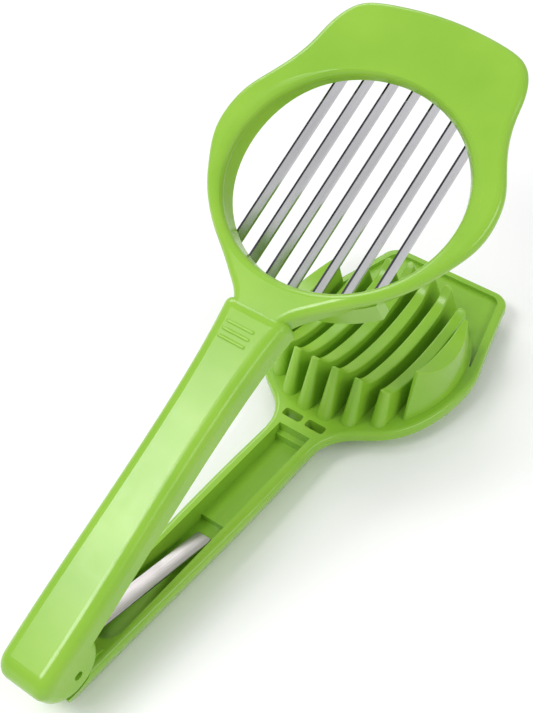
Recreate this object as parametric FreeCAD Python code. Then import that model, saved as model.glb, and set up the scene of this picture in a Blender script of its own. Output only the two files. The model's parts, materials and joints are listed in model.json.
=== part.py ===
# Hand-held egg slicer: a slotted lower jaw, a ring of blades hinged over it, and a leaf spring.
# Lengths are in millimetres.  X runs from the hinge end to the tip, Y along the hinge pin, Z up.
import FreeCAD, Part
import math
import os

V = FreeCAD.Vector

# ---------------------------------------------------------------- driving sizes
blade_count = 7
pitch = 6.5                 # spacing of the blades, and of the fins between them
open_angle = 27.4           # angle between the two jaws at rest

ring_x = 127.1              # centre of the ring, measured from the hinge pin
hole_rx = 28.2              # half length of the ring's opening
hole_ry = 30.4              # half width of the ring's opening
ring_half_width = 38.8      # half width over the ring, level with its top
ring_lean = 0.66            # how far the ring's outer wall draws in per unit of depth
tip_x = 175.6               # front edge of the thumb tab

handle_half = 7.2           # half width of the upper handle, and of its cheeks
handle_wall = 2.2
handle_top = 9.7            # top of the upper handle above the pin axis
handle_low = 2.8            # lower edge of its side walls above the pin axis

deck_top = -5.6             # top of the lower jaw's deck below the pin axis
deck_thick = 2.8
base_z = -14.0              # underside of the lower jaw
grip_half = 8.3             # half width of the lower handle at its rim
wall_lean = 0.36            # sideways lean of its walls per unit of height

cup_rx = 24.0               # half length of the cup across the fin tips
cup_wall = 4.55             # thickness of the cup's end walls at the fin tips
cup_height = 14.9           # fin tips above the deck
cup_flare = 6.0             # how far the fins run out at the deck, front and back
fin_top = 2.2               # thickness of a fin at its tip
fin_base = 4.4              # thickness of a fin at the deck

blade_thick = 0.5
blade_high = 5.06
blade_top = 2.36            # top edge of the blades above the pin axis
blade_bevel = 1.3

pin_r = 1.2
strip_wide = 4.7            # leaf spring strip
strip_thick = 0.8

# ---------------------------------------------------------------- named clearances
pin_play = 0.06             # radial, pin in the lower jaw
side_play = 0.4             # between tongue and cheeks
sweep_play = 0.45           # between the cheek lobes and the lower handle
pin_recess = 0.5            # pin ends below the cheek faces

# ---------------------------------------------------------------- derived sizes
tongue_half = handle_half - handle_wall - side_play
channel_half = handle_half - handle_wall
slot_top = pitch - fin_top
slot_base = pitch - fin_base
fin_tip_z = deck_top + cup_height
deck_low = deck_top - deck_thick
blade_low = blade_top - blade_high
holder_low = blade_low - 0.2
blade_ys = [(blade_count - 1) / 2.0 * pitch - pitch * i for i in range(blade_count)]
wall_inner = blade_ys[0] + slot_base / 2.0 + 0.1
cup_ry = wall_inner + cup_wall
bar_half = blade_ys[0] + 2.5
lobe_z = 2.1                # centre height of the round cheeks
lobe_r = 8.7                # their radius

holder_x = ring_x + hole_rx + 4.4      # inner face of the bar that holds the far blade ends
handle_end = 90.6           # front end of the upper handle's raised block
plate_x = 169.2             # front edge of the lower jaw's tip plate
grip_far = 99.0             # where the lower handle ends under the deck
channel_wide = 4.9          # half width of the lower handle's channel
pocket_x = 12.0             # its hinge-side end


# ---------------------------------------------------------------- small helpers
def block(x0, x1, y0, y1, z0, z1):
    return Part.makeBox(x1 - x0, y1 - y0, z1 - z0, V(x0, y0, z0))


def rod_y(x, z, radius, y0, y1):
    return Part.makeCylinder(radius, y1 - y0, V(x, y0, z), V(0, 1, 0))


def spline(points):
    curve = Part.BSplineCurve()
    curve.interpolate([V(*p) for p in points])
    return curve.toShape()


def line(a, b):
    return Part.makeLine(V(*a), V(*b))


def arc(a, mid, b):
    return Part.Arc(V(*a), V(*mid), V(*b)).toShape()


def raise_up(edges, z0, z1):
    face = Part.Face(Part.Wire(Part.__sortEdges__(edges)))
    solid = face.extrude(V(0, 0, z1 - z0))
    solid.translate(V(0, 0, z0))
    return solid


def across(edges, half):
    # Side outline in the XZ plane, extruded to both sides of Y = 0.
    face = Part.Face(Part.Wire(Part.__sortEdges__(edges)))
    solid = face.extrude(V(0, 2 * half, 0))
    solid.translate(V(0, -half, 0))
    return solid


def polygon_x(points, x0, x1):
    # Section outline in the YZ plane, extruded along X.
    loop = [V(x0, y, z) for y, z in points]
    wire = Part.makePolygon(loop + [loop[0]])
    return Part.Face(wire).extrude(V(x1 - x0, 0, 0))


def oval(cx, rx, ry, z0, z1, grow=0.0):
    # Upright elliptical cylinder; the larger half axis is given first to the ellipse.
    a = rx + grow
    b = ry + grow
    if a >= b:
        curve = Part.Ellipse(V(cx + a, 0, z0), V(cx, b, z0), V(cx, 0, z0))
    else:
        curve = Part.Ellipse(V(cx, b, z0), V(cx - a, 0, z0), V(cx, 0, z0))
    return Part.Face(Part.Wire([curve.toShape()])).extrude(V(0, 0, z1 - z0))


def oval_loop(cx, rx, ry, z):
    if rx >= ry:
        curve = Part.Ellipse(V(cx + rx, 0, z), V(cx, ry, z), V(cx, 0, z))
    else:
        curve = Part.Ellipse(V(cx, ry, z), V(cx - rx, 0, z), V(cx, 0, z))
    return Part.Wire([curve.toShape()])


def rounded(shape, radius, wanted):
    return shape.makeFillet(radius, [edge for edge in shape.Edges if wanted(edge)])


def mirrored(points):
    # The same run of plan points on the other side of Y = 0, in reverse order.
    return [(x, -y, z) for x, y, z in reversed(points)]


# ---------------------------------------------------------------- upper frame
def ring_outline(level):
    # Plan outline of ring and tab at one height; round the ring it draws in below z = 8.
    w = ring_half_width
    side = [(86.0, 6.6, 0), (91.0, 8.0, 0), (94.6, 11.8, 0), (98.6, 16.8, 0), (103.6, 23.6, 0),
            (110.6, 30.7, 0), (118.4, 35.3, 0), (125.6, w - 0.4, 0), (132.6, w, 0),
            (139.6, w - 1.6, 0), (144.6, w - 4.2, 0), (151.0, 31.3, 0), (158.0, 28.8, 0),
            (tip_x - 10.4, 27.0, 0), (tip_x - 6.7, 25.4, 0), (tip_x - 3.8, 22.7, 0),
            (tip_x - 2.1, 18.4, 0), (tip_x - 0.7, 10.4, 0)]
    moved = []
    for x, y, _ in side:
        rise = min(max((x - 92.0) / 18.0, 0), 1) * min(max((166.0 - x) / 18.0, 0), 1)
        moved.append((x, y + rise * ring_lean * (level - 8.0), level))
    edge = spline(moved + [(tip_x, 0, level)] + mirrored(moved))
    return Part.Wire([edge, line((86.0, 6.6, level), (86.0, -6.6, level))])


def hole_plug():
    # The ring's opening: its wall draws in a little at the bottom and rounds out widely at the top.
    loops = [oval_loop(ring_x, hole_rx - 1.0, hole_ry - 2.6, -1)]
    for grow, level in ((0.1, 6.4), (0.2, 7.0), (0.45, 7.6), (0.8, 8.15), (1.3, 8.55), (1.9, 8.85),
                        (2.7, 9.1), (4.7, 9.5)):
        loops.append(oval_loop(ring_x, hole_rx + grow, hole_ry + grow, level))
    return Part.makeLoft(loops, True, True)


def ring_body():
    # Ring and thumb tab: a solid with leaning sides, cut to a side outline.
    plate = Part.makeLoft([ring_outline(0), ring_outline(14)], True, True)
    top = spline([(80, 0, 8.9), (100, 0, 9.0), (127, 0, 9.2), (146, 0, 9.0), (158, 0, 8.2),
                  (168, 0, 7.8), (182, 0, 7.8)])
    low = spline([(80, 0, handle_low), (110, 0, handle_low), (128, 0, 3.3), (140, 0, 4.4),
                  (150, 0, 5.4), (162, 0, 5.4), (182, 0, 4.8)])
    profile = across([top, line((182, 0, 7.8), (182, 0, 4.8)), low,
                      line((80, 0, handle_low), (80, 0, 8.9))], 50)
    body = plate.common(profile)
    body = rounded(body, 2.0, lambda e: e.BoundBox.XLength > 60 and e.BoundBox.ZMin > 6)
    body = rounded(body, 0.9, lambda e: e.BoundBox.XLength > 60 and e.BoundBox.ZMax < 6)
    return body.cut(hole_plug())


def holder_far():
    # Straight bar under the thumb tab that holds the far ends of the blades.
    bar = block(holder_x, holder_x + 3.8, -bar_half, bar_half, holder_low, 6.4)
    for y in blade_ys:
        bar = bar.cut(block(holder_x - 1, holder_x + 1.1, y - 2.0, y + 0.8, holder_low - 1, 4.0))
    return bar


def holder_near():
    # Curved rib under the near half of the ring that holds the near ends.
    rib = oval(ring_x, hole_rx, hole_ry, holder_low, 5.0, 3.4)
    rib = rib.cut(oval(ring_x, hole_rx, hole_ry, holder_low - 1, 6.0, 1.6))
    return rib.common(block(ring_x - 40, ring_x - 20.0, -bar_half - 1, bar_half + 1, -10, 10))


def handle_body():
    # Upper handle with its round cheeks; hollow from below.
    h = handle_half
    plan = [spline([(-12, h, 0), (40, h, 0), (66, h + 0.1, 0), (80, h + 0.8, 0),
                    (handle_end, h + 2.0, 0)]),
            line((handle_end, h + 2.0, 0), (handle_end, -h - 2.0, 0)),
            spline([(-12, -h, 0), (40, -h, 0), (66, -h - 0.1, 0), (80, -h - 0.8, 0),
                    (handle_end, -h - 2.0, 0)]),
            line((-12, h, 0), (-12, -h, 0))]
    body = raise_up(plan, -12, 14)
    rear = -lobe_r
    reach = math.sqrt(lobe_r ** 2 - (handle_low - lobe_z) ** 2)
    bend = handle_top - 5.0
    q = 5.0 * (1 - math.sqrt(0.5))
    side = [arc((reach, 0, handle_low), (0, 0, lobe_z - lobe_r), (rear, 0, lobe_z)),
            line((rear, 0, lobe_z), (rear, 0, bend)),
            arc((rear, 0, bend), (rear + q, 0, handle_top - q), (rear + 5.0, 0, handle_top)),
            line((rear + 5.0, 0, handle_top), (100, 0, handle_top)),
            line((100, 0, handle_top), (100, 0, handle_low)),
            line((100, 0, handle_low), (reach, 0, handle_low))]
    body = body.common(across(side, 30))
    body = rounded(body, 1.8, lambda e: e.BoundBox.XMin > handle_end - 0.1 and e.BoundBox.ZLength > 3)
    body = rounded(body, 3.2, lambda e: e.BoundBox.ZMin > lobe_z - 0.1 and abs(e.BoundBox.YMax) > 3
                   and (e.BoundBox.ZMin > handle_top - 5.1 or e.BoundBox.XMax < rear + 0.1)
                   and not (e.BoundBox.XMax > handle_end - 4 and e.BoundBox.XLength < 3))
    return body


def grip_ribs():
    # Three small raised ribs across the top of the handle, by the ring.
    ribs = []
    for i in range(3):
        x = 80.4 + 2.0 * i
        z = handle_top - 0.25
        rib = rod_y(x, z, 0.55, -2.8, 4.2)
        rib = rib.fuse(Part.makeSphere(0.55, V(x, -2.8, z)))
        ribs.append(rib.fuse(Part.makeSphere(0.55, V(x, 4.2, z))))
    return ribs


def blade(y):
    # A flat strip on edge; the lower edge is ground to a wedge on both sides.
    t = blade_thick / 2.0
    edge = 0.06
    a = hole_rx + 3.0
    b = hole_ry + 3.0
    x0 = ring_x - a * math.sqrt(1 - (y / b) ** 2)
    loop = [(y - t, blade_top), (y + t, blade_top), (y + t, blade_low + blade_bevel),
            (y + edge, blade_low), (y - edge, blade_low), (y - t, blade_low + blade_bevel)]
    return polygon_x(loop, x0, holder_x + 2.0)


def upper_frame(blades):
    body = handle_body()
    inside = block(handle_wall - lobe_r, handle_end - 4.5, -channel_half, channel_half,
                   -20, handle_top - handle_wall)
    below = block(-lobe_r - 1, handle_end - 4.5, -channel_half, channel_half, -20, 2.0)
    body = body.cut(inside).cut(below)
    body = body.fuse([ring_body(), holder_far(), holder_near()] + grip_ribs())
    body = body.cut(block(50, handle_end - 4.5, -channel_half, channel_half, -20,
                          handle_top - handle_wall))
    body = body.cut(rod_y(0, 0, pin_r, -20, 20))
    for strip in blades:
        body = body.cut(strip)
    return body


# ---------------------------------------------------------------- lower jaw
def cup_reach(y, level):
    # Half length of the cup at one distance from its centre line and one height.
    share = (level - deck_top) / cup_height
    rx = cup_rx + cup_flare * (1 - share)
    ry = cup_ry + 0.8 * (1 - share)
    return rx * math.sqrt(1 - (y / ry) ** 2)


def fin(y):
    # One fin between two blade slots: thinner towards its top, with round ends.
    sections = []
    for level in (deck_top - 0.5, fin_tip_z + 2.0):
        share = (level - deck_top) / cup_height
        r = (fin_base + (fin_top - fin_base) * share) / 2.0
        half = cup_reach(y, level) - r
        x0 = ring_x - half
        x1 = ring_x + half
        sections.append(Part.Wire([line((x0, y - r, level), (x1, y - r, level)),
                                   arc((x1, y - r, level), (x1 + r, y, level), (x1, y + r, level)),
                                   line((x1, y + r, level), (x0, y + r, level)),
                                   arc((x0, y + r, level), (x0 - r, y, level), (x0, y - r, level))]))
    return Part.makeLoft(sections, True, True)


def hollow(points, half):
    # What is cut away above a run of side-view points.
    x0 = points[0][0]
    x1 = points[-1][0]
    top = fin_tip_z + 20
    return across([spline(points), line(points[0], (x0, 0, top)),
                   line((x0, 0, top), (x1, 0, top)), line((x1, 0, top), points[-1])], half)


def both_ways(steps):
    # Side-view points from (distance from the cup's centre, height against the fin tips).
    run = [(ring_x + d, 0, fin_tip_z + h) for d, h in steps]
    return [(ring_x - d, 0, fin_tip_z + h) for d, h in reversed(steps[1:])] + run


def cup_shape():
    # Six fins and two end walls that follow one flared oval, hollowed across the top.
    bowl = hollow(both_ways([(0, -8.8), (12.6, -7.3), (19.8, -4.0), (22.4, -1.0), (24.2, 0.3),
                             (27, 0.9), (40, 3.0)]), wall_inner)
    dip = hollow(both_ways([(0, -2.7), (7.0, -2.0), (10.8, -0.6), (13.2, 0.4), (16.0, 0.9),
                            (40, 2.0)]), 40)
    pieces = []
    for i in range(blade_count - 1):
        y = (i - (blade_count - 2) / 2.0) * pitch
        one = fin(y).cut(bowl)
        low = deck_top + 0.6
        pieces.append(rounded(one, 0.45, lambda e: e.BoundBox.ZMin > low))
    shell = Part.makeLoft([oval_loop(ring_x, cup_rx + cup_flare, cup_ry + 0.8, deck_top - 0.5),
                           oval_loop(ring_x, cup_rx, cup_ry, fin_tip_z + 0.8)], True)
    low = deck_top - 2
    high = fin_tip_z + 5
    a = cup_reach(wall_inner, low) - 1.6
    b = cup_reach(wall_inner, high) - 1.6
    blunt = across([line((ring_x - a, 0, low), (ring_x + a, 0, low)),
                    line((ring_x + a, 0, low), (ring_x + b, 0, high)),
                    line((ring_x + b, 0, high), (ring_x - b, 0, high)),
                    line((ring_x - b, 0, high), (ring_x - a, 0, low))], 40)
    for side in (-1, 1):
        keep = block(ring_x - 50, ring_x + 50, min(side * wall_inner, side * 40),
                     max(side * wall_inner, side * 40), low, high)
        wall = shell.common(keep).common(blunt).cut(dip)
        pieces.append(rounded(wall, 0.4, lambda e: e.BoundBox.ZMin > deck_top + 3
                              or e.BoundBox.ZLength > 10 and e.BoundBox.XLength > 1))
    return pieces


def deck_plate():
    # Deck round the cup and the tip plate in front of it, with a shallow rimmed recess.
    side = [(78.0, 5.0, 0), (86.0, 7.4, 0), (91.0, 8.0, 0), (95.4, 10.2, 0), (99.2, 14.0, 0),
            (102.2, 18.2, 0), (106.6, 22.4, 0), (113.4, 26.0, 0), (122.0, 28.2, 0),
            (129.6, 28.9, 0), (136.4, 28.4, 0), (141.6, 27.0, 0), (150.0, 24.6, 0),
            (158.0, 22.5, 0)]
    end = (plate_x - 5.4, 21.0, 0)
    turn = (plate_x - 1.25, 18.9, 0)
    stop = (plate_x, 15.6, 0)
    outline = [spline(side + [end]),
               arc(end, turn, stop),
               line(stop, (stop[0], -stop[1], 0)),
               arc((end[0], -end[1], 0), (turn[0], -turn[1], 0), (stop[0], -stop[1], 0)),
               spline([(end[0], -end[1], 0)] + mirrored(side)),
               line((78.0, 5.0, 0), (78.0, -5.0, 0))]
    plate = raise_up(outline, deck_low, deck_top)
    plate = rounded(plate, 1.2, lambda e: e.BoundBox.ZMin > deck_top - 0.01
                    and e.BoundBox.XMax > 79)
    inner = [line((plate_x - 2.5, 15.0, 0), (plate_x - 2.5, -15.0, 0)),
             arc((plate_x - 2.5, 15.0, 0), (plate_x - 3.2, 17.2, 0), (plate_x - 5.4, 18.5, 0)),
             line((plate_x - 5.4, 18.5, 0), (138.0, 25.2, 0)),
             line((138.0, 25.2, 0), (138.0, -25.2, 0)),
             line((138.0, -25.2, 0), (plate_x - 5.4, -18.5, 0)),
             arc((plate_x - 2.5, -15.0, 0), (plate_x - 3.2, -17.2, 0), (plate_x - 5.4, -18.5, 0))]
    recess = raise_up(inner, deck_top - 1.2, deck_top + 5)
    recess = recess.cut(oval(ring_x, cup_rx + cup_flare + 0.8, cup_ry + 1.2, -20, 20))
    return plate.cut(recess)


def skirt():
    # Foot under the cup, so that the jaw lies flat.
    foot = oval(ring_x, cup_rx + 1.0, cup_ry - 4.0, base_z, deck_low + 0.5)
    return foot.cut(oval(ring_x, cup_rx - 1.2, cup_ry - 6.2, base_z - 1, deck_low + 1))


def grip_body():
    # Lower handle: a boat-shaped section, a little narrower and rounded at the hinge end.
    top = deck_top
    n = handle_half
    h = grip_half
    sections = []
    for x, half in ((-10, n - 0.2), (8, n), (34, n + 0.6), (52, h), (76, h + 0.1), (grip_far, h - 0.2)):
        low = half - wall_lean * (top - base_z)
        loop = [V(x, -half, top), V(x, half, top), V(x, low, base_z), V(x, -low, base_z)]
        sections.append(Part.makePolygon(loop + [loop[0]]))
    body = Part.makeLoft(sections, True)
    body = rounded(body, 2.0, lambda e: e.BoundBox.ZMax < base_z + 0.1 and e.BoundBox.XLength > 50)
    body = rounded(body, 1.5, lambda e: e.BoundBox.ZMin > top - 0.1 and e.BoundBox.XLength > 50)
    heel_x = -3.6
    heel_r = 8.2
    cx = heel_x + heel_r
    cz = base_z + heel_r
    q = heel_r * math.sqrt(0.5)
    side = [arc((heel_x, 0, cz), (cx - q, 0, cz - q), (cx, 0, base_z)),
            line((cx, 0, base_z), (grip_far + 1, 0, base_z)),
            line((grip_far + 1, 0, base_z), (grip_far + 1, 0, 2)),
            line((grip_far + 1, 0, 2), (heel_x, 0, 2)),
            line((heel_x, 0, 2), (heel_x, 0, cz))]
    return body.common(across(side, 20))


def tongue():
    # Hinge knuckle that stands up between the cheeks, with the heel that stops the opening.
    t = tongue_half
    knuckle = rod_y(0, 0, 4.4, -t, t)
    root = [arc((-4.4, 0, 0), (-4.1, 0, -1.6), (-3.6, 0, -5.0)),
            line((-3.6, 0, -5.0), (-3.6, 0, deck_top - 2)),
            line((-3.6, 0, deck_top - 2), (10.5, 0, deck_top - 2)),
            line((10.5, 0, deck_top - 2), (10.5, 0, deck_top + 0.3)),
            arc((10.5, 0, deck_top + 0.3), (6.2, 0, -3.2), (4.4, 0, 0)),
            line((4.4, 0, 0), (-4.4, 0, 0))]
    heel = [line((-6.9, 0, -2.0), (-3.0, 0, -1.4)),
            line((-3.0, 0, -1.4), (-3.0, 0, -5.2)),
            line((-3.0, 0, -5.2), (-6.0, 0, -3.9)),
            line((-6.0, 0, -3.9), (-6.9, 0, -2.0))]
    return knuckle.fuse([across(root, t), across(heel, t)])


def lower_jaw():
    body = grip_body().fuse([deck_plate(), skirt()] + cup_shape())
    wide = channel_wide
    ledge = block(80.0, 90.4, -wide, wide, deck_top - 2.7, deck_top + 1)
    run = block(pocket_x + wide, 88.6, -wide, wide, deck_top - 5.0, deck_top + 1)
    pocket = block(pocket_x + wide, 57.0, -wide, wide, base_z + 1.7, deck_top + 1)
    round_end = Part.makeCylinder(wide, 12, V(pocket_x + wide, 0, base_z + 1.7))
    body = body.cut(ledge).cut(run).cut(pocket).cut(round_end)
    swing = []
    for share in (0.0, 0.5, 1.0):
        a = math.radians(open_angle) * share
        cx = -lobe_z * math.sin(a)
        cz = lobe_z * math.cos(a)
        swing.append(rod_y(cx, cz, lobe_r + sweep_play, tongue_half, 30))
        swing.append(rod_y(cx, cz, lobe_r + sweep_play, -30, -tongue_half))
    for disc in swing:
        body = body.cut(disc)
    body = body.fuse(tongue())
    body = body.cut(rod_y(0, 0, pin_r + pin_play, -20, 20))
    for near in (0.75, -6.6):
        slot = block(93.2, 95.9, near, near + 5.85, deck_low - 8, deck_top + 1)
        slot = rounded(slot, 0.8, lambda e: e.BoundBox.ZLength > 5)
        body = body.cut(slot)
    return body


# ---------------------------------------------------------------- pin and spring
def hinge_pin():
    half = handle_half - pin_recess
    pin = rod_y(0, 0, pin_r, -half, half)
    return pin.makeChamfer(0.2, pin.Edges[0:1] + pin.Edges[2:3])


def leaf_spring():
    # One strip bent to a V; its legs press the floor of the lower channel and the roof above.
    half = strip_wide / 2.0
    a = math.radians(open_angle)
    t = strip_thick
    tip_low = V(52.2, 0, base_z + 1.7 + t + 0.35)
    ux = 49.0
    uz = handle_top - handle_wall - t - 0.45
    tip_high = V(ux * math.cos(a) - uz * math.sin(a), 0, ux * math.sin(a) + uz * math.cos(a))
    c = V(8.6, 0, 1.7)
    r = 2.4
    low = leg_start(c, tip_low, r, -1)
    high = leg_start(c, tip_high, r, 1)
    back = V(c.x - r * 0.985, 0, c.z + r * 0.17)
    path = Part.Wire([Part.makeLine(tip_low, low), Part.Arc(low, back, high).toShape(),
                      Part.makeLine(high, tip_high)])
    d = (low - tip_low).normalize()
    n = V(-d.z, 0, d.x)
    p = [tip_low + n * (t / 2) + V(0, -half, 0), tip_low + n * (t / 2) + V(0, half, 0),
         tip_low - n * (t / 2) + V(0, half, 0), tip_low - n * (t / 2) + V(0, -half, 0)]
    return path.makePipeShell([Part.makePolygon(p + [p[0]])], True, False, 1)


def leg_start(centre, tip, radius, side):
    # Point where the straight leg from the tip touches the bend circle.
    d = centre - tip
    dist = d.Length
    lean = math.acos(radius / dist)
    base = math.atan2(-d.z, -d.x)
    ang = base + side * lean
    return centre + V(radius * math.cos(ang), 0, radius * math.sin(ang))


def main():
    blades = [blade(y) for y in blade_ys]
    upper = {"upper_frame": upper_frame(blades), "hinge_pin": hinge_pin()}
    for i, strip in enumerate(blades):
        upper["blade_%d" % (i + 1)] = strip
    nodes = {"lower_jaw": lower_jaw(), "leaf_spring": leaf_spring()}
    for name, shape in upper.items():
        turned = shape.copy()
        turned.rotate(V(0, 0, 0), V(0, 1, 0), -open_angle)
        nodes[name] = turned
    bounds = FreeCAD.BoundBox()
    for shape in nodes.values():
        bounds.add(shape.optimalBoundingBox(False))
    move = V(-bounds.Center.x, 0, -bounds.ZMin)
    os.makedirs("parts", exist_ok=True)
    for name, shape in nodes.items():
        shape.translate(move)
        shape.exportStep("parts/%s.step" % name)
        print(name, shape.isValid(), len(shape.Solids), round(shape.Volume, 1))
    print("hinge at", round(move.x, 3), round(move.z, 3), "size", round(bounds.XLength, 2),
          round(bounds.YLength, 2), round(bounds.ZLength, 2))


main()
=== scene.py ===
"""Looks for a hand-held egg slicer: lime mouldings, bright blades, a bent leaf spring and a
plain studio."""

import json
import math

import bpy
import numpy as np
from bpy.props import FloatProperty, FloatVectorProperty, IntProperty, PointerProperty
from bpy.types import Operator, Panel, PropertyGroup
from mathutils import Matrix, Vector


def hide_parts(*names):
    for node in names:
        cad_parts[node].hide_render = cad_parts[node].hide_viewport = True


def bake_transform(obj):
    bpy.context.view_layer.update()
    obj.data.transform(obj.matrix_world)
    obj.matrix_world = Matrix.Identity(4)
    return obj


bl_info = {
    "name": "Egg Slicer Looks",
    "version": (1, 0, 0),
    "blender": (4, 5, 0),
    "location": "3D Viewport > Sidebar > Egg Slicer",
    "description": "Finishes, leaf spring and studio for a hand-held egg slicer",
    "category": "Object",
}

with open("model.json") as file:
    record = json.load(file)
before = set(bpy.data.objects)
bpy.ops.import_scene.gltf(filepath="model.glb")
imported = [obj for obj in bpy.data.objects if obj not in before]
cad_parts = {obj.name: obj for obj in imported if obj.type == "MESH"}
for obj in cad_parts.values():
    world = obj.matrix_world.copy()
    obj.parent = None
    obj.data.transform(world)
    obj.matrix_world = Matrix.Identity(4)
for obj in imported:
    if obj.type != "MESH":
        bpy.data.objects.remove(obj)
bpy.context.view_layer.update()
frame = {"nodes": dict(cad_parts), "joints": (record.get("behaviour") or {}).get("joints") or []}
HINGE = Vector(frame["joints"][0]["pos_m"])
OPEN_DEGREES = frame["joints"][0]["range_deg"][1]
BLADES = sorted(name for name in frame["nodes"] if name.startswith("blade_"))

# Side view of the spring, (x, z) in metres from the hinge pin.  The upper tip is given with the
# jaws closed and is turned up by the opening angle.
BEND_CENTRE = (0.0086, 0.0017)
LOW_TIP = (0.0522, -0.01115)
HIGH_TIP_CLOSED = (0.0490, 0.00625)
LEG_TURN = math.radians(-13.6)

# The blades' cut top edge, in metres above the hinge pin, and a painted dark reflection line just
# below it.
BLADE_TOP = 0.00236
REFLECTION_LINE_START = 0.00022
REFLECTION_LINE_FULL = 0.00012
PAINTED_REFLECTION_TINT = (0.16, 0.16, 0.18, 1)


# ------------------------------------------------------------------ settings a user would change
class PlasticSettings(PropertyGroup):
    lime: FloatVectorProperty(
        name="Lime", description="Colour of the moulded plastic", subtype="COLOR",
        size=3, min=0, max=1, default=(0.268, 0.500, 0.040))
    deep_lime: FloatVectorProperty(
        name="Deep lime", description="Slightly richer tone that drifts through the plastic",
        subtype="COLOR", size=3, min=0, max=1, default=(0.225, 0.455, 0.030))
    gloss: FloatProperty(
        name="Roughness", description="Roughness of the polished mould surface",
        default=0.24, min=0.02, max=1, subtype="FACTOR")
    grain: FloatProperty(
        name="Skin depth", description="Height of the faint waviness of the moulded skin",
        default=0.000012, min=0, max=0.001, unit="LENGTH", precision=6)


class SteelSettings(PropertyGroup):
    blade: FloatVectorProperty(
        name="Blade steel", description="Colour of the rolled stainless strip",
        subtype="COLOR", size=3, min=0, max=1, default=(0.52, 0.515, 0.54))
    spring: FloatVectorProperty(
        name="Spring steel", description="Colour of the leaf spring", subtype="COLOR",
        size=3, min=0, max=1, default=(0.50, 0.47, 0.47))
    blade_gloss: FloatProperty(
        name="Blade roughness", description="Roughness of the blades",
        default=0.16, min=0.02, max=1, subtype="FACTOR")
    spring_gloss: FloatProperty(
        name="Spring roughness", description="Roughness of the leaf spring",
        default=0.38, min=0.02, max=1, subtype="FACTOR")


class SpringSettings(PropertyGroup):
    width: FloatProperty(
        name="Width", description="Width of the spring strip", default=0.0047,
        min=0.001, max=0.009, unit="LENGTH", precision=4)
    thickness: FloatProperty(
        name="Thickness", description="Thickness of the spring strip", default=0.0008,
        min=0.0002, max=0.002, unit="LENGTH", precision=5)
    bend: FloatProperty(
        name="Bend radius", description="Radius of the bend beside the hinge pin",
        default=0.0024, min=0.001, max=0.005, unit="LENGTH", precision=4)
    steps: IntProperty(
        name="Steps", description="Rows of faces along the strip", default=120, min=24, max=600)


class StageSettings(PropertyGroup):
    floor_tone: FloatVectorProperty(
        name="Floor", description="Colour of the floor", subtype="COLOR",
        size=3, min=0, max=1, default=(0.90, 0.90, 0.90))
    sky: FloatProperty(
        name="Sky", description="Strength of the even white light from all round",
        default=0.58, min=0, max=10)
    key: FloatProperty(
        name="Key light", description="Power of the large soft light", default=3.9, min=0,
        unit="POWER")
    turn: FloatProperty(
        name="Camera turn", description="Direction the camera looks in, from +Y towards +X",
        default=math.radians(51.91), subtype="ANGLE")
    height: FloatProperty(
        name="Camera height", description="Angle at which the camera looks down",
        default=math.radians(45.26), subtype="ANGLE")
    roll: FloatProperty(
        name="Camera roll", description="Tilt of the camera about its view direction",
        default=math.radians(-1.173), subtype="ANGLE")
    distance: FloatProperty(
        name="Distance", description="Camera to the aiming point", default=0.2987,
        unit="LENGTH", precision=4)
    aim: FloatVectorProperty(
        name="Aim", description="Aiming point, measured from the hinge pin", size=3,
        default=(0.0722, -0.0053, 0.0400), unit="LENGTH", precision=4)
    lens: FloatProperty(
        name="Lens", description="Focal length for a sensor 24 mm high", default=43.74,
        min=10, max=300)


# ------------------------------------------------------------------ surfaces
def closed_tube(name, rings):
    """Mesh from rings[i, j]: point j round the section at station i.
    Each ring is joined to the next by quads, and a flat cap closes either end."""
    stations, around = rings.shape[:2]
    i, j = np.meshgrid(np.arange(stations - 1), np.arange(around), indexing="ij")
    k = (j + 1) % around
    quads = np.stack([i * around + j, i * around + k,
                      (i + 1) * around + k, (i + 1) * around + j], -1)
    faces = quads.reshape(-1, 4).tolist()
    faces.append(list(range(around))[::-1])
    faces.append([(stations - 1) * around + n for n in range(around)])
    mesh = bpy.data.meshes.new(name)
    mesh.from_pydata(rings.reshape(-1, 3).tolist(), [], faces)
    mesh.validate()
    mesh.update()
    piece = bpy.data.objects.new(name, mesh)
    bpy.context.scene.collection.objects.link(piece)
    return piece


def strip_section(width, thickness, corner, per_corner=4):
    """Rounded rectangle as (across, up) pairs: each corner is a quarter circle of radius corner,
    centred corner in from both sides, and the straight sides join them."""
    quarter = np.linspace(0, np.pi / 2, per_corner)
    angles = np.concatenate([quarter + n * np.pi / 2 for n in range(4)])
    cx = np.repeat([1, -1, -1, 1], per_corner) * (width / 2 - corner)
    cz = np.repeat([1, 1, -1, -1], per_corner) * (thickness / 2 - corner)
    return np.stack([cx + corner * np.cos(angles), cz + corner * np.sin(angles)], -1)


def leg_touch(centre, tip, radius, side):
    """Point where a straight leg from the tip touches the bend circle: the radius to it leans from
    the line to the tip by the angle whose cosine is radius over distance."""
    reach = tip - centre
    lean = math.acos(radius / np.linalg.norm(reach))
    angle = math.atan2(reach[1], reach[0]) + side * lean
    return centre + radius * np.array([math.cos(angle), math.sin(angle)])


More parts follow.
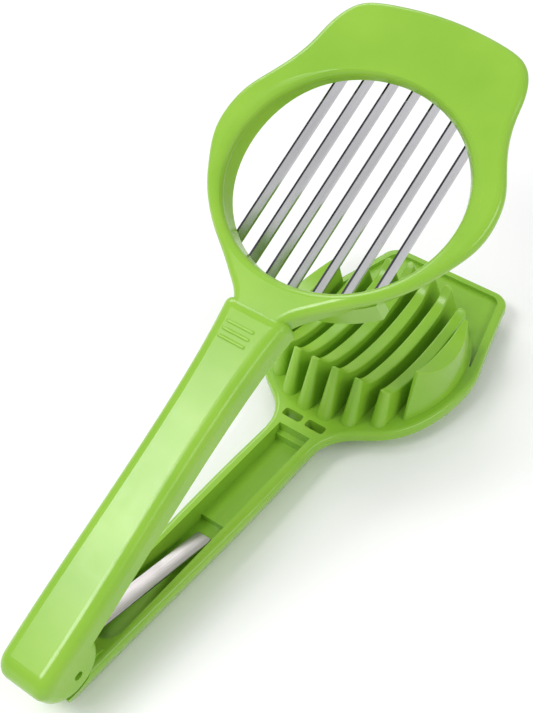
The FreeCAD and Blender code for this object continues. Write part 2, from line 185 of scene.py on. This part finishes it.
def spring_line(settings):
    """Side view of the spring, (x, z) from the hinge pin: a straight leg, an arc round the back of
    the bend, and a second straight leg turned up by the opening angle."""
    opening = math.radians(OPEN_DEGREES)
    centre = np.array(BEND_CENTRE)
    low_tip = np.array(LOW_TIP)
    flat = np.array(HIGH_TIP_CLOSED)
    high_tip = np.array([flat[0] * math.cos(opening) - flat[1] * math.sin(opening),
                         flat[0] * math.sin(opening) + flat[1] * math.cos(opening)])
    low = leg_touch(centre, low_tip, settings.bend, -1)
    high = leg_touch(centre, high_tip, settings.bend, 1)
    a0 = math.atan2(*(low - centre)[::-1]) % (2 * math.pi)
    a1 = math.atan2(*(high - centre)[::-1]) % (2 * math.pi)
    turn = np.linspace(a0, a1, settings.steps // 3)
    arc = centre + settings.bend * np.stack([np.cos(turn), np.sin(turn)], -1)
    share = np.linspace(0, 1, settings.steps // 3)[:, None]
    first = low_tip + (low - low_tip) * share
    last = high + (high_tip - high) * share
    return np.concatenate([first[:-1], arc, last[1:]])


def bent_strip(settings):
    """The section carried along spring_line: each ring stands square to the line's direction, and
    the last half millimetre at either tip narrows by up to 12 %."""
    path = spring_line(settings)
    ahead = np.gradient(path, axis=0)
    ahead /= np.linalg.norm(ahead, axis=1, keepdims=True)
    upright = np.stack([-ahead[:, 1], ahead[:, 0]], -1)
    gone = np.concatenate([[0], np.cumsum(np.linalg.norm(np.diff(path, axis=0), axis=1))])
    from_tip = np.minimum(gone, gone[-1] - gone)
    narrow = 1 - 0.12 * (1 - np.clip(from_tip / 0.0005, 0, 1)) ** 2
    section = strip_section(settings.width, settings.thickness, settings.thickness * 0.3)
    across = section[None, :, 0] * narrow[:, None]
    up = np.broadcast_to(section[None, :, 1], across.shape)
    rings = np.stack([HINGE.x + path[:, None, 0] + up * upright[:, None, 0],
                      HINGE.y + across,
                      HINGE.z + path[:, None, 1] + up * upright[:, None, 1]], -1)
    return rings[:, ::-1]


# ------------------------------------------------------------------ shader building blocks
def new_group(name, inputs, outputs):
    group = bpy.data.node_groups.new(name, "ShaderNodeTree")
    for label, kind, value in inputs:
        socket = group.interface.new_socket(name=label, in_out="INPUT", socket_type=kind)
        if value is not None:
            socket.default_value = value
    for label, kind in outputs:
        group.interface.new_socket(name=label, in_out="OUTPUT", socket_type=kind)
    return group, group.nodes.new("NodeGroupInput"), group.nodes.new("NodeGroupOutput")


def moulded_skin():
    """Broad drift of tone, a surface height with a slow sink wave and a very fine skin, and a
    mask of smears for the roughness."""
    group, given, result = new_group(
        "Moulded skin",
        [("Vector", "NodeSocketVector", None), ("Drift size", "NodeSocketFloat", 40.0),
         ("Skin size", "NodeSocketFloat", 2600.0)],
        [("Tone", "NodeSocketFloat"), ("Height", "NodeSocketFloat"), ("Smear", "NodeSocketFloat")])
    link = group.links.new
    drift = group.nodes.new("ShaderNodeTexNoise")
    drift.inputs["Detail"].default_value = 3
    link(given.outputs["Vector"], drift.inputs["Vector"])
    link(given.outputs["Drift size"], drift.inputs["Scale"])
    tone = group.nodes.new("ShaderNodeMapRange")
    tone.inputs["From Min"].default_value = 0.35
    tone.inputs["From Max"].default_value = 0.65
    link(drift.outputs["Fac"], tone.inputs["Value"])
    link(tone.outputs["Result"], result.inputs["Tone"])
    skin = group.nodes.new("ShaderNodeTexNoise")
    skin.inputs["Detail"].default_value = 2
    link(given.outputs["Vector"], skin.inputs["Vector"])
    link(given.outputs["Skin size"], skin.inputs["Scale"])
    sink = group.nodes.new("ShaderNodeTexNoise")
    sink.inputs["Scale"].default_value = 42
    sink.inputs["Detail"].default_value = 1
    link(given.outputs["Vector"], sink.inputs["Vector"])
    mix = group.nodes.new("ShaderNodeMath")
    mix.operation = "MULTIPLY_ADD"
    mix.inputs[1].default_value = 0.12
    link(skin.outputs["Fac"], mix.inputs[0])
    link(sink.outputs["Fac"], mix.inputs[2])
    link(mix.outputs[0], result.inputs["Height"])
    smear = group.nodes.new("ShaderNodeTexNoise")
    smear.inputs["Scale"].default_value = 220
    smear.inputs["Detail"].default_value = 4
    smear.inputs["Distortion"].default_value = 0.6
    link(given.outputs["Vector"], smear.inputs["Vector"])
    link(smear.outputs["Fac"], result.inputs["Smear"])
    return group


def drawn_lines():
    """Rolling lines along X: noise stretched a hundredfold along X, coarse and fine together."""
    group, given, result = new_group(
        "Drawn lines",
        [("Vector", "NodeSocketVector", None), ("Fineness", "NodeSocketFloat", 4200.0),
         ("Length", "NodeSocketFloat", 0.012)],
        [("Lines", "NodeSocketFloat"), ("Stain", "NodeSocketFloat")])
    link = group.links.new
    stretch = group.nodes.new("ShaderNodeCombineXYZ")
    stretch.inputs["Y"].default_value = 1
    stretch.inputs["Z"].default_value = 1
    link(given.outputs["Length"], stretch.inputs["X"])
    squeezed = group.nodes.new("ShaderNodeVectorMath")
    squeezed.operation = "MULTIPLY"
    link(given.outputs["Vector"], squeezed.inputs[0])
    link(stretch.outputs["Vector"], squeezed.inputs[1])
    fine = group.nodes.new("ShaderNodeTexNoise")
    fine.inputs["Detail"].default_value = 3
    fine.inputs["Roughness"].default_value = 0.65
    link(squeezed.outputs["Vector"], fine.inputs["Vector"])
    link(given.outputs["Fineness"], fine.inputs["Scale"])
    link(fine.outputs["Fac"], result.inputs["Lines"])
    stain = group.nodes.new("ShaderNodeTexNoise")
    stain.inputs["Scale"].default_value = 160
    stain.inputs["Detail"].default_value = 4
    link(given.outputs["Vector"], stain.inputs["Vector"])
    link(stain.outputs["Fac"], result.inputs["Stain"])
    return group


def shared(name, builder):
    return bpy.data.node_groups.get(name) or builder()


def start_material(name):
    material = bpy.data.materials.new(name)
    material.use_nodes = True
    nodes = material.node_tree.nodes
    return material, nodes, material.node_tree.links.new, nodes["Principled BSDF"]


def add_group(nodes, group):
    node = nodes.new("ShaderNodeGroup")
    node.node_tree = group
    return node


def map_value(nodes, link, source, low, high, socket):
    """Stretches a 0.3 to 0.7 noise value over low to high and feeds it to the socket."""
    node = nodes.new("ShaderNodeMapRange")
    node.inputs["From Min"].default_value = 0.3
    node.inputs["From Max"].default_value = 0.7
    node.inputs["To Min"].default_value = low
    node.inputs["To Max"].default_value = high
    link(source, node.inputs["Value"])
    link(node.outputs["Result"], socket)
    return node


def lime_plastic(settings):
    material, nodes, link, shader = start_material("Lime moulded plastic")
    place = nodes.new("ShaderNodeTexCoord")
    skin = add_group(nodes, shared("Moulded skin", moulded_skin))
    link(place.outputs["Object"], skin.inputs["Vector"])
    colour = nodes.new("ShaderNodeMix")
    colour.data_type = "RGBA"
    colour.inputs[6].default_value = (*settings.lime, 1)
    colour.inputs[7].default_value = (*settings.deep_lime, 1)
    link(skin.outputs["Tone"], colour.inputs[0])
    link(colour.outputs[2], shader.inputs["Base Color"])
    map_value(nodes, link, skin.outputs["Smear"], settings.gloss - 0.02, settings.gloss + 0.03,
              shader.inputs["Roughness"])
    bump = nodes.new("ShaderNodeBump")
    bump.inputs["Strength"].default_value = 0.5
    bump.inputs["Distance"].default_value = settings.grain
    link(skin.outputs["Height"], bump.inputs["Height"])
    link(bump.outputs["Normal"], shader.inputs["Normal"])
    shader.inputs["IOR"].default_value = 1.49
    shader.inputs["Subsurface Weight"].default_value = 0.12
    shader.inputs["Subsurface Radius"].default_value = (0.6, 1.0, 0.15)
    shader.inputs["Subsurface Scale"].default_value = 0.0016
    return material


def rolled_steel(name, colour, gloss, turned, fineness, depth, reflection_line_top=None):
    """Rolled strip: drawn lines follow the strip, whose length is turned up from X by an angle.
    Where the last argument is given, it is the height of the cut top edge, and a painted dark
    reflection line runs just below it."""
    material, nodes, link, shader = start_material(name)
    place = nodes.new("ShaderNodeTexCoord")
    along = nodes.new("ShaderNodeMapping")
    along.vector_type = "TEXTURE"
    along.inputs["Location"].default_value = HINGE
    along.inputs["Rotation"].default_value = (0, -turned, 0)
    link(place.outputs["Object"], along.inputs["Vector"])
    lines = add_group(nodes, shared("Drawn lines", drawn_lines))
    lines.inputs["Fineness"].default_value = fineness
    link(along.outputs["Vector"], lines.inputs["Vector"])
    tone = nodes.new("ShaderNodeMix")
    tone.data_type = "RGBA"
    tone.inputs[6].default_value = (*(c * 0.86 for c in colour), 1)
    tone.inputs[7].default_value = (*(min(c * 1.08, 1) for c in colour), 1)
    map_value(nodes, link, lines.outputs["Lines"], 0, 1, tone.inputs[0])
    finished = tone.outputs[2]
    if reflection_line_top is not None:
        finished = paint_edge_reflection(nodes, link, along.outputs["Vector"], finished, reflection_line_top)
    link(finished, shader.inputs["Base Color"])
    map_value(nodes, link, lines.outputs["Stain"], gloss - 0.05, gloss + 0.08,
              shader.inputs["Roughness"])
    bump = nodes.new("ShaderNodeBump")
    bump.inputs["Strength"].default_value = 0.4
    bump.inputs["Distance"].default_value = depth
    link(lines.outputs["Lines"], bump.inputs["Height"])
    link(bump.outputs["Normal"], shader.inputs["Normal"])
    shader.inputs["Metallic"].default_value = 1
    return material


def paint_edge_reflection(nodes, link, place, colour, height):
    """Paints a dark reflection line into the colour: a narrow band just below the strip's cut top
    edge, up to the edge.
    """
    parts = nodes.new("ShaderNodeSeparateXYZ")
    link(place, parts.inputs["Vector"])
    band = nodes.new("ShaderNodeMapRange")
    band.inputs["From Min"].default_value = height - REFLECTION_LINE_START
    band.inputs["From Max"].default_value = height - REFLECTION_LINE_FULL
    link(parts.outputs["Z"], band.inputs["Value"])
    edge = nodes.new("ShaderNodeMix")
    edge.data_type = "RGBA"
    edge.blend_type = "MULTIPLY"
    edge.inputs[7].default_value = PAINTED_REFLECTION_TINT
    link(band.outputs["Result"], edge.inputs[0])
    link(colour, edge.inputs[6])
    return edge.outputs[2]


def pale_floor(colour):
    """Matte paper sweep with a faint tooth."""
    material, nodes, link, shader = start_material("Studio paper")
    place = nodes.new("ShaderNodeTexCoord")
    tooth = nodes.new("ShaderNodeTexNoise")
    tooth.inputs["Scale"].default_value = 900
    link(place.outputs["Object"], tooth.inputs["Vector"])
    bump = nodes.new("ShaderNodeBump")
    bump.inputs["Strength"].default_value = 0.1
    bump.inputs["Distance"].default_value = 0.0001
    link(tooth.outputs["Fac"], bump.inputs["Height"])
    link(bump.outputs["Normal"], shader.inputs["Normal"])
    shader.inputs["Base Color"].default_value = (*colour, 1)
    shader.inputs["Roughness"].default_value = 0.9
    return material


def dress(piece, material):
    piece.data.materials.clear()
    piece.data.materials.append(material)


# ------------------------------------------------------------------ operators
class SLICER_OT_mouldings(Operator):
    """Give both mouldings and the pin their glossy lime plastic"""
    bl_idname = "slicer.mouldings"
    bl_label = "Mouldings"

    def execute(self, context):
        material = lime_plastic(context.scene.slicer_plastic)
        for name in ("upper_frame", "lower_jaw", "hinge_pin"):
            dress(frame["nodes"][name], material)
        return {"FINISHED"}


class SLICER_OT_blades(Operator):
    """Give the seven blades their rolled stainless finish"""
    bl_idname = "slicer.blades"
    bl_label = "Blades"

    def execute(self, context):
        steel = context.scene.slicer_steel
        # BLADE_TOP sets where the painted dark reflection line runs, just below the blades' top
        # edge
        material = rolled_steel("Blade steel", steel.blade, steel.blade_gloss,
                                math.radians(OPEN_DEGREES), 5200, 0.000002, BLADE_TOP)
        for name in BLADES:
            dress(frame["nodes"][name], material)
        return {"FINISHED"}


class SLICER_OT_leaf_spring(Operator):
    """Bend the leaf spring between the two jaws, shaped for the jaws at full opening"""
    bl_idname = "slicer.leaf_spring"
    bl_label = "Leaf spring"

    def execute(self, context):
        piece = closed_tube("bent_leaf_spring", bent_strip(context.scene.slicer_spring))
        piece.data.shade_smooth()
        piece.data.set_sharp_from_angle(angle=math.radians(35))
        steel = context.scene.slicer_steel
        dress(piece, rolled_steel("Spring steel", steel.spring, steel.spring_gloss,
                                  LEG_TURN, 3600, 0.00001))
        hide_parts("leaf_spring")
        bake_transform(piece)
        return {"FINISHED"}


class SLICER_OT_studio(Operator):
    """Lay the floor, hang the lights and set up the camera"""
    bl_idname = "slicer.studio"
    bl_label = "Studio"

    def execute(self, context):
        stage = context.scene.slicer_stage
        floor = lay_floor(stage)
        context.scene.view_settings.view_transform = "Standard"
        light_studio(context.scene, stage)
        context.scene.camera = place_camera(stage)
        return {"FINISHED"}


def lay_floor(stage):
    """A sweep: z is flat out to 1.4 m behind, then rises as a quarter circle and a wall."""
    across = np.linspace(-1.8, 1.8, 3)
    flat = np.stack([np.linspace(-1.6, 1.4, 4), np.zeros(4)], -1)
    turn = np.linspace(0, np.pi / 2, 24)
    bend = np.stack([1.4 + 0.5 * np.sin(turn), 0.5 - 0.5 * np.cos(turn)], -1)
    wall = np.array([[1.9, 2.2]])
    run = np.concatenate([flat, bend[1:], wall])
    grid = np.zeros((len(run), len(across), 3))
    facing = np.array([math.sin(stage.turn), math.cos(stage.turn)])
    side = np.array([facing[1], -facing[0]])
    grid[..., :2] = run[:, None, :1] * facing + across[None, :, None] * side
    grid[..., 2] = run[:, None, 1]
    i, j = np.meshgrid(np.arange(len(run) - 1), np.arange(len(across) - 1), indexing="ij")
    n = len(across)
    quads = np.stack([i * n + j, i * n + j + 1, (i + 1) * n + j + 1, (i + 1) * n + j], -1)
    mesh = bpy.data.meshes.new("studio_floor")
    mesh.from_pydata(grid.reshape(-1, 3).tolist(), [], quads.reshape(-1, 4).tolist())
    mesh.shade_smooth()
    mesh.update()
    floor = bpy.data.objects.new("studio_floor", mesh)
    bpy.context.scene.collection.objects.link(floor)
    dress(floor, pale_floor(stage.floor_tone))
    return floor


def light_studio(scene, stage):
    world = bpy.data.worlds.new("White room")
    world.use_nodes = True
    world.node_tree.nodes["Background"].inputs["Color"].default_value = (1, 1, 1, 1)
    world.node_tree.nodes["Background"].inputs["Strength"].default_value = stage.sky
    scene.world = world
    hang_light(scene, "key_softbox", stage.key, (0.50, 0.22), Vector((-0.42, 0.22, 0.70)))
    hang_light(scene, "front_softbox", stage.key * 0.38, (0.60, 0.16), Vector((0.10, -0.62, 0.42)))
    hang_light(scene, "back_softbox", stage.key * 0.34, (0.50, 0.18), Vector((0.42, 0.52, 0.46)))


def hang_light(scene, name, power, size, place):
    light = bpy.data.lights.new(name, "AREA")
    light.energy = power
    light.shape = "RECTANGLE"
    light.size, light.size_y = size
    lamp = bpy.data.objects.new(name, light)
    aim = Vector((0, 0, 0.03)) - place
    facing = aim.to_track_quat("-Z", "Y").to_matrix().to_4x4()
    lamp.matrix_world = Matrix.Translation(place) @ facing
    scene.collection.objects.link(lamp)


def place_camera(stage):
    """The view direction comes from the turn and height, and the camera backs off along it from
    the aim."""
    flat = math.cos(stage.height)
    away = Vector((flat * math.sin(stage.turn), flat * math.cos(stage.turn),
                   -math.sin(stage.height)))
    level = away.cross(Vector((0, 0, 1))).normalized()
    upright = level.cross(away)
    right = level * math.cos(stage.roll) + upright * math.sin(stage.roll)
    up = right.cross(away)
    data = bpy.data.cameras.new("studio_camera")
    data.sensor_fit = "VERTICAL"
    data.sensor_height = 24
    data.lens = stage.lens
    data.clip_start = 0.01
    camera = bpy.data.objects.new("studio_camera", data)
    spot = HINGE + Vector(stage.aim) - away * stage.distance
    axes = Matrix((right, up, -away)).transposed().to_4x4()
    camera.matrix_world = Matrix.Translation(spot) @ axes
    bpy.context.scene.collection.objects.link(camera)
    return camera


class SLICER_PT_panel(Panel):
    """Buttons and settings in the sidebar"""
    bl_label = "Egg Slicer"
    bl_idname = "SLICER_PT_panel"
    bl_space_type = "VIEW_3D"
    bl_region_type = "UI"
    bl_category = "Egg Slicer"

    def draw(self, context):
        for operator, holder in STEPS:
            box = self.layout.box()
            box.operator(operator.bl_idname)
            for prop in getattr(context.scene, holder).bl_rna.properties:
                if prop.identifier not in ("rna_type", "name"):
                    box.prop(getattr(context.scene, holder), prop.identifier)


SETTINGS = {
    "slicer_plastic": PlasticSettings,
    "slicer_steel": SteelSettings,
    "slicer_spring": SpringSettings,
    "slicer_stage": StageSettings,
}
STEPS = (
    (SLICER_OT_mouldings, "slicer_plastic"),
    (SLICER_OT_blades, "slicer_steel"),
    (SLICER_OT_leaf_spring, "slicer_spring"),
    (SLICER_OT_studio, "slicer_stage"),
)


def register():
    for name, settings in SETTINGS.items():
        bpy.utils.register_class(settings)
        setattr(bpy.types.Scene, name, PointerProperty(type=settings))
    for operator, _ in STEPS:
        bpy.utils.register_class(operator)
    bpy.utils.register_class(SLICER_PT_panel)


def unregister():
    bpy.utils.unregister_class(SLICER_PT_panel)
    for operator, _ in reversed(STEPS):
        bpy.utils.unregister_class(operator)
    for name, settings in SETTINGS.items():
        delattr(bpy.types.Scene, name)
        bpy.utils.unregister_class(settings)


def main():
    register()
    bpy.ops.slicer.mouldings()
    bpy.ops.slicer.blades()
    bpy.ops.slicer.leaf_spring()
    bpy.ops.slicer.studio()


if __name__ == "__main__":
    main()
